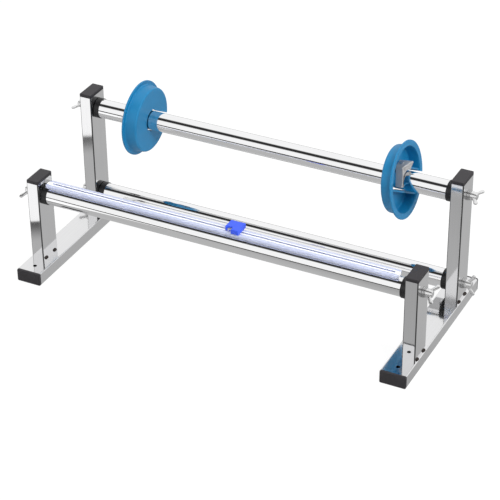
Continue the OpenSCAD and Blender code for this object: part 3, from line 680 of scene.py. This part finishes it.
def slotted_cup():
    """The holder's outline turned about the bar, each point only between the slot's two sides:
    its angle starts at the arcsine of the slot's half width over the point's radius."""
    tip_rim, root_cove, flange_rim, mouth_rim, cup_cove = 2.5, 1.6, 0.5, 1.0, 1.5
    outline = np.concatenate([
        [[bore_r, -holder_depth], [20, -holder_depth], [30, -holder_depth]],
        arc(boss_tip_r - tip_rim, -holder_depth + tip_rim, tip_rim, -90, 0, 8),
        arc(boss_root_r + root_cove, -flange_t - root_cove, root_cove, 180, 90),
        arc(flange_r - flange_rim, -flange_t + flange_rim, flange_rim, -90, 0, 4),
        arc(flange_r - flange_rim, -flange_rim, flange_rim, 0, 90, 4),
        arc(mouth_r + mouth_rim, -mouth_rim, mouth_rim, 90, 180),
        arc(cup_r - cup_cove, floor_z + cup_cove, cup_cove, 0, -90),
        [[30, floor_z], [20, floor_z], [bore_r, floor_z]]])
    start = np.arcsin(np.clip(slot_half / outline[:, :1], 0, 1))
    share = np.linspace(0, 1, 161)[None]
    angle = start + share * (2 * np.pi - 2 * start) - slot_turn
    points, faces = grid(about_z(outline, angle), wrap_u=True)
    first = np.arange(len(outline)) * share.size
    return points, faces + [first.tolist(), (first + share.size - 1)[::-1].tolist()]


# The clip's line, which the holder's seat follows too: up the leg and back along the tab
leg_foot, leg_top, tab_end = np.array([[-13.26, -2.94], [-7.34, 19.16], [4.07, 21.01]])
tab_len = np.linalg.norm(tab_end - leg_top)
tab_along = (tab_end - leg_top) / tab_len
tab_up = np.array([-tab_along[1], tab_along[0]])
leg_along = unit(leg_top - leg_foot)
clip_t = 1.1

rib_t, rib_clear, rib_reach, rib_start = 2, 0.03, 34.5, -14
rib_sunk, rib_top, rib_rim = 1, -1.6, 0.35
near, far = bore_r + rib_clear, bore_r + rib_t
upper_rib = down_slot([(rib_start, near), (rib_reach, near), (rib_reach, far),
                       (rib_start + 1.6, far), (rib_start, far - 1.5)])
lower_rib = down_slot([(-rib_reach, -far), (rib_reach, -far),
                       (rib_reach, -near), (-rib_reach, -near)])
seat = [leg_top + a * tab_len * tab_along + b * tab_up
        for a, b in ((0.30, -0.9), (0.30, -3.2), (0.66, -6.6), (0.90, -6.6), (0.90, -0.9))]
inside = [block(np.array(outline), floor_z - rib_sunk, rib_top, 0, rib_rim, 3)
          for outline in (upper_rib, lower_rib, seat)]

blue = Finish(bpy.data.materials.new("holder_blue"))
drift = blue.noise(blue.place(), 24.0, 3.0, 0.55)
speck = blue.noise(blue.place(), 2200.0, 2.0, 0.5)
holder_blue = blue.end(blue.node(
    "BsdfPrincipled",
    Base_Color=blue.mix(drift * 0.8 + speck * 0.2, seen(14, 114, 162), seen(22, 130, 184)),
    Roughness=0.36 + drift * 0.10 + speck * 0.06, Normal=blue.bump(speck, 0.2, 0.00005)))
for side in ("left", "right"):
    piece(f"{side}_holder_cup", [on_shaft(shape, side) for shape in [slotted_cup()] + inside],
          holder_blue, f"{side}_holder", [f"{side}_core_holder"])


# Spring clips: one blank of bright spring steel, bent into a leg before the bar, a tab for the
# thumb over it and a side folded down round the bar. A hollow rivet holds the tab on its seat.
def spread(points, count):
    """Points evenly spread along a broken line, by its length."""
    points = np.asarray(points, float)
    along = np.concatenate([[0], np.cumsum(np.linalg.norm(np.diff(points, axis=0), axis=1))])
    even = np.linspace(0, along[-1], count)
    return np.stack([np.interp(even, along, axis) for axis in points.T], -1)


def corner_inset(distance, r):
    """How far a corner of radius r lies inside a square one at a distance from its end: r less
    the square root of r squared less (r - distance) squared, and nothing from r on."""
    return r - np.sqrt(r ** 2 - np.clip(r - distance, 0, r) ** 2)


def round_bend(start, corner, stop, share):
    """A quadratic curve from start to stop, drawn towards a corner, at shares of its way."""
    return (1 - share) ** 2 * start + 2 * share * (1 - share) * corner + share ** 2 * stop


def thick_sheet(points, thickness):
    """A grid of points given a thickness: each goes half of it to both sides, along the cross
    product of the grid's two directions, and the rims are closed."""
    normal = unit(np.cross(np.gradient(points, axis=0), np.gradient(points, axis=1)))
    front, back = points + normal * thickness / 2, points - normal * thickness / 2
    loop = np.concatenate([front, back[:, ::-1]], 1)
    shape_points, faces = grid(loop, wrap_v=True)
    rows, cols = loop.shape[:2]
    for start in (0, (rows - 1) * cols):
        faces += [[start + i, start + i + 1, start + cols - 2 - i, start + cols - 1 - i]
                  for i in range(cols // 2 - 1)]
    return shape_points, faces


def clip_sheet():
    """The blank as one grid. Its rows follow the clip's line, rounded at the bend. Across, each
    row runs over leg or tab, round the fold by a quadratic curve, and down the side to its free
    edge, which follows the bar and then swings out over it."""
    leg_rows, bend_len, fold_len = 24, 2.2, 1.1
    before, after = leg_top - bend_len * leg_along, leg_top + bend_len * tab_along
    line = np.concatenate([
        leg_foot + np.linspace(0, 1, leg_rows)[:-1, None] * (before - leg_foot),
        round_bend(before, leg_top, after, np.linspace(0, 1, 9)[:, None]),
        after + np.linspace(0, 1, 20)[1:, None] * (tab_end - after)])
    rows = len(line)
    on_tab = np.clip((line - leg_top) @ tab_along / tab_len, 0, 1)
    on_tab[:leg_rows] = 0

    inner_z, end_corner, foot_corner = -8, 1.5, 1.2
    trim = (corner_inset(tab_len * (1 - on_tab), end_corner)
            + corner_inset(np.linalg.norm(line - leg_foot, axis=1), foot_corner))
    inner = np.column_stack([line, inner_z + trim])
    widening, first_step, step_share = 6.6, 1.1, 0.12
    flare = widening * on_tab + first_step * np.clip(on_tab / step_share, 0, 1)
    fold = np.column_stack([line, flare])

    hug_r, swing_reach, swing_power, free_end = bar_r + 0.9, 2.2, 1.4, (6.9, 9.7, 2.3)
    angle = np.radians(np.linspace(196, 58, 40))
    swinging = np.clip((np.radians(125) - angle) / np.radians(65), 0, 1)
    round_bar = np.column_stack([hug_r * np.cos(angle), hug_r * np.sin(angle),
                                 swing_reach * swinging ** swing_power])
    free = spread(np.concatenate([round_bar, [free_end]]), rows)

    start = fold - fold_len * unit(fold - inner)
    stop = fold + fold_len * unit(free - fold)
    flat = inner[:, None] + np.linspace(0, 1, 18)[None, :-1, None] * (start - inner)[:, None]
    turn = round_bend(start[:, None], fold[:, None], stop[:, None],
                      np.linspace(0, 1, 7)[None, :, None])
    share, pull = np.linspace(0, 1, 15)[None, 1:, None], np.array([-9.0, 0.0, 0.0])
    towards_end = (np.linspace(0, 1, rows) ** 4)[:, None, None]
    hollow = share * (1 - share) * towards_end * pull
    side = stop[:, None] + share * (free - stop)[:, None] + hollow
    return thick_sheet(np.concatenate([flat, turn, side], 1), clip_t)


def on_tab_frame(shape):
    """A shape at the rivet's place, with its own Z square to the tab and up from it."""
    origin = (*(leg_top + 0.56 * tab_len * tab_along), -3.52)
    return moved(shape, origin, x=(*tab_along, 0), y=(0, 0, -1), z=(*tab_up, 0))


def drilled(made, shape, crease=40):
    """Cuts a shape out of a finished piece and shades it anew."""
    mesh = bpy.data.meshes.new("drill")
    mesh.from_pydata((shape[0] * MM).tolist(), [], shape[1])
    tool = bpy.data.objects.new("drill", mesh)
    bpy.context.scene.collection.objects.link(tool)
    made.modifiers.clear()
    cut = made.modifiers.new("drill", "BOOLEAN")
    cut.object, cut.solver = tool, "EXACT"
    evaluated = made.evaluated_get(bpy.context.evaluated_depsgraph_get())
    result = bpy.data.meshes.new_from_object(evaluated)
    made.modifiers.clear()
    made.data = result
    bpy.data.objects.remove(tool)
    shade(made, crease)


spring = Finish(bpy.data.materials.new("spring_steel"))
brushed = spring.noise(spring.stretched(60, 700, 700), 1.0, 3.0, 0.6)
worn = spring.noise(spring.place(), 220.0, 3.0, 0.6)
spring_steel = spring.end(spring.node(
    "BsdfPrincipled", Metallic=0.6, Base_Color=spring.mix(worn, grey(0.46), grey(0.58)),
    Roughness=0.30 + brushed * 0.14, Normal=spring.bump(brushed, 0.1, 0.00003)))
rivet_steel = machined("rivet_steel", grey(0.75), 0.25, 800.0)
rivet_foot, rivet_r, drill_r, drill_reach = -1.5, 1.28, 1.3, 2
hollow_rivet = on_tab_frame(turned(np.concatenate([
    [[0.8, rivet_foot], [rivet_r, rivet_foot], [rivet_r, 0.57]],
    arc(2.13, 0.79, 0.22, -90, 60, 5), arc(1.08, 0.92, 0.26, 80, 180, 5)]), 40))
rivet_drill = on_tab_frame(block(arc(0, 0, drill_r, 0, 345, 23), -drill_reach, drill_reach, 0, 0))
for side in ("left", "right"):
    clip = piece(f"{side}_spring_clip", [on_shaft(clip_sheet(), side)], spring_steel,
                 f"{side}_holder", [f"{side}_clip"])
    drilled(clip, on_shaft(rivet_drill, side))
    piece(f"{side}_hollow_rivet", [on_shaft(hollow_rivet, side)], rivet_steel,
          f"{side}_holder", [f"{side}_clip_rivet"])


# Slide track: a milky strip of extruded plastic with a T slot for the cutter's foot, open in the
# middle and closed at both ends, stuck along the top of the front bar with foam tape. A faint
# glow along the slot stands for the light that comes through the plastic.
track_x0, track_x1, track_z0, track_h, track_w = -218.0, 210.0, 12.0, 3.4, 14.0


def track_strip():
    """The strip's section at places along X. Near each end it narrows to a rounded corner, and
    its slot's points lie flat in its top, so that the end is closed."""
    half, wall, slot, chamber, margin = track_w / 2, 0.8, 2.5, 4.5, 5.0
    foot_r, top_r, lip_r, end_r, rim_r = 0.6, 0.9, 0.25, 3.0, 0.6
    lip = track_h - wall
    groove = [(slot, lip), (chamber, lip), (chamber, wall),
              (-chamber, wall), (-chamber, lip), (-slot, lip)]
    middle = np.concatenate([arc(slot + lip_r, track_h - lip_r, lip_r, 90, 180, 3), groove,
                             arc(-slot - lip_r, track_h - lip_r, lip_r, 0, 90, 3)])
    across = np.linspace(slot + lip_r, -slot - lip_r, len(middle))
    flat = np.stack([across, np.full(len(middle), track_h)], -1)
    before = np.concatenate([arc(-half + foot_r, foot_r, foot_r, 180, 270, 4),
                             arc(half - foot_r, foot_r, foot_r, -90, 0, 4),
                             arc(half - top_r, track_h - top_r, top_r, 0, 90, 5)])
    after = arc(-half + top_r, track_h - top_r, top_r, 90, 180, 5)
    opened, closed = [np.concatenate([before, part, after]) for part in (middle, flat)]
    steps = np.array([0, 0.08, 0.3, 0.6, 1.1, 1.8, 3.0, margin])
    x = np.concatenate([track_x0 + steps, [track_x0 + margin, track_x1 - margin],
                        track_x1 - steps[::-1]])
    shut = np.ones(len(x))
    shut[len(steps):len(steps) + 2] = 0
    in_from_end = np.minimum(x - track_x0, track_x1 - x)
    narrow = 1 - corner_inset(in_from_end, end_r) / half
    low = 1 - corner_inset(in_from_end, rim_r) / track_h
    section = opened + (closed - opened) * shut[:, None, None]
    points = np.stack([x[:, None] + 0 * section[..., 0], section[..., 0] * narrow[:, None],
                       section[..., 1] * low[:, None]], -1)
    points, faces = grid(points, wrap_v=True)
    return points, faces + ends(len(opened), len(points))


milky = Finish(bpy.data.materials.new("milky_plastic"))
lines = milky.noise(milky.stretched(3, 900, 900), 1.0, 2.0, 0.6)
cloud = milky.noise(milky.place(), 40.0, 2.0, 0.5)
y = milky.axes()[1]
glow_front, glow_rear, glow_rim = front_y - 3.2, front_y + 2.4, 0.8
past_front, past_rear = [(y - MM * start).step(0.0, MM * glow_rim)
                         for start in (glow_front, glow_rear)]
# Painted light: the slot is coloured lighter and made to glow, for the light that comes through the
# plastic.
in_slot = past_front * (1 - past_rear)
plain = milky.mix(lines * 0.6 + cloud * 0.4, seen(186, 192, 218), seen(206, 212, 236))
milky_plastic = milky.end(milky.node(
    "BsdfPrincipled", Base_Color=milky.mix(in_slot, plain, grey(0.86)),
    Emission_Strength=1.0, Emission_Color=milky.mix(in_slot, grey(0.0), (0.36, 0.37, 0.40, 1.0)),
    Subsurface_Weight=0.5, Subsurface_Radius=(1.0, 1.0, 1.0), Subsurface_Scale=0.004,
    Roughness=0.22 + lines * 0.12, Normal=milky.bump(lines, 0.05, 0.00004)))
piece("slide_track", [moved(track_strip(), (0, front_y, front_z + track_z0))], milky_plastic,
      "frame", ["cutter_track"])

foam = Finish(bpy.data.materials.new("foam_white"))
cells = foam.noise(foam.place(), 1500.0, 3.0, 0.6)
dress(["track_tape"], foam.end(foam.node(
    "BsdfPrincipled", Base_Color=foam.mix(cells, seen(205, 208, 218), seen(236, 238, 244)),
    Roughness=0.7 + cells * 0.2, Normal=foam.bump(cells, 0.5, 0.0002))))


# Slide cutter: a royal blue moulding that runs along the track on its foot. A horn guides the film
# into a notch, where a small steel blade stands between the horn and the finger block.
cutter_x0, cutter_x1, cutter_z0, cutter_h = 8.25, 26.25, 15.7, 5.4
notch_x0, notch_x1 = 10.85, 16.75
cutter_mid, block_mid = (cutter_x0 + cutter_x1) / 2, (notch_x1 + cutter_x1) / 2

horn_y, notch_y, block_y, tail_y = -4.0, -2.0, -8.0, 11.0
horn_r, notch_r, block_r, tail_r = 0.9, 0.8, 1.0, 1.2
cutter_plan = np.concatenate([
    arc(cutter_x0 + horn_r, horn_y + horn_r, horn_r, 180, 270, 4),
    arc(notch_x0 - horn_r, horn_y + horn_r, horn_r, -90, 0, 4),
    arc(notch_x0 + notch_r, notch_y - notch_r, notch_r, 180, 90, 4),
    arc(notch_x1 - notch_r, notch_y - notch_r, notch_r, 90, 0, 4),
    arc(notch_x1 + block_r, block_y + block_r, block_r, 180, 270, 4),
    arc(cutter_x1 - block_r, block_y + block_r, block_r, -90, 0, 4),
    arc(cutter_x1 - tail_r, tail_y - tail_r, tail_r, 0, 90, 5),
    arc(cutter_x0 + tail_r, tail_y - tail_r, tail_r, 90, 180, 5)])
bump = turned(np.concatenate([
    [[0, 0.5]], arc(0, -0.7, 1.2, 82, 36, 5), [[1.1, -0.4], [0, -0.4]]]), 24, ring=False)
royal = moulded("royal_blue", seen(38, 72, 222), seen(62, 104, 248), 0.26, 1500, 0.00005)
shapes = [block(cutter_plan, cutter_z0, cutter_z0 + cutter_h, 0.3, 0.8),
          moved(bump, (block_mid, block_y, cutter_z0 + cutter_h / 2), y=(0, 0, 1), z=(0, -1, 0))]
piece("slide_cutter", [moved(shape, (0, front_y, front_z)) for shape in shapes], royal,
      "cutter", ["cutter_body"])

foot_z, foot_h, foot_rim, neck_low, neck_sunk = 13.1, 1.2, 0.25, 0.1, 0.05
neck, sole = round_rect(11.0, 4.4, 0.6), round_rect(13.0, 8.4, 1.0)
shapes = [block(neck + [cutter_mid, 0], foot_z + neck_low, cutter_z0 + neck_sunk, 0, 0),
          block(sole + [cutter_mid, 0], foot_z, foot_z + foot_h, foot_rim, foot_rim)]
piece("slide_foot", [moved(shape, (0, front_y, front_z)) for shape in shapes], royal,
      "cutter", ["cutter_foot"])


def blade_slip():
    """The blade: a thin slip whose upper edge rises across the notch and is ground to a bevel."""
    sunk, low_h, rise, half_t, bevel_h = 0.8, 1.8, 1.8, 0.19, 0.7
    blade_y, blade_z = -3.0, cutter_z0 + 1.0
    x = np.linspace(notch_x0 - sunk, notch_x1 + sunk, 12)[:, None]
    edge_h = low_h + rise * (x - x[0]) / (x[-1] - x[0])
    across = half_t * np.array([[-1, 1, 1, 0, -1]])
    below_edge = bevel_h * np.array([[0, 0, 1, 0, 1]])
    height = np.where(np.arange(5)[None] < 2, 0, edge_h - below_edge)
    loops = np.stack([x + 0 * across, across + blade_y + 0 * x, blade_z + height], -1)
    points, faces = grid(loops, wrap_v=True)
    return points, faces + ends(5, len(points))


blade_steel = machined("blade_steel", grey(0.78), 0.16, 1200.0)
piece("slide_blade", [moved(blade_slip(), (0, front_y, front_z))], blade_steel,
      "cutter", ["cutter_blade"], crease=12)
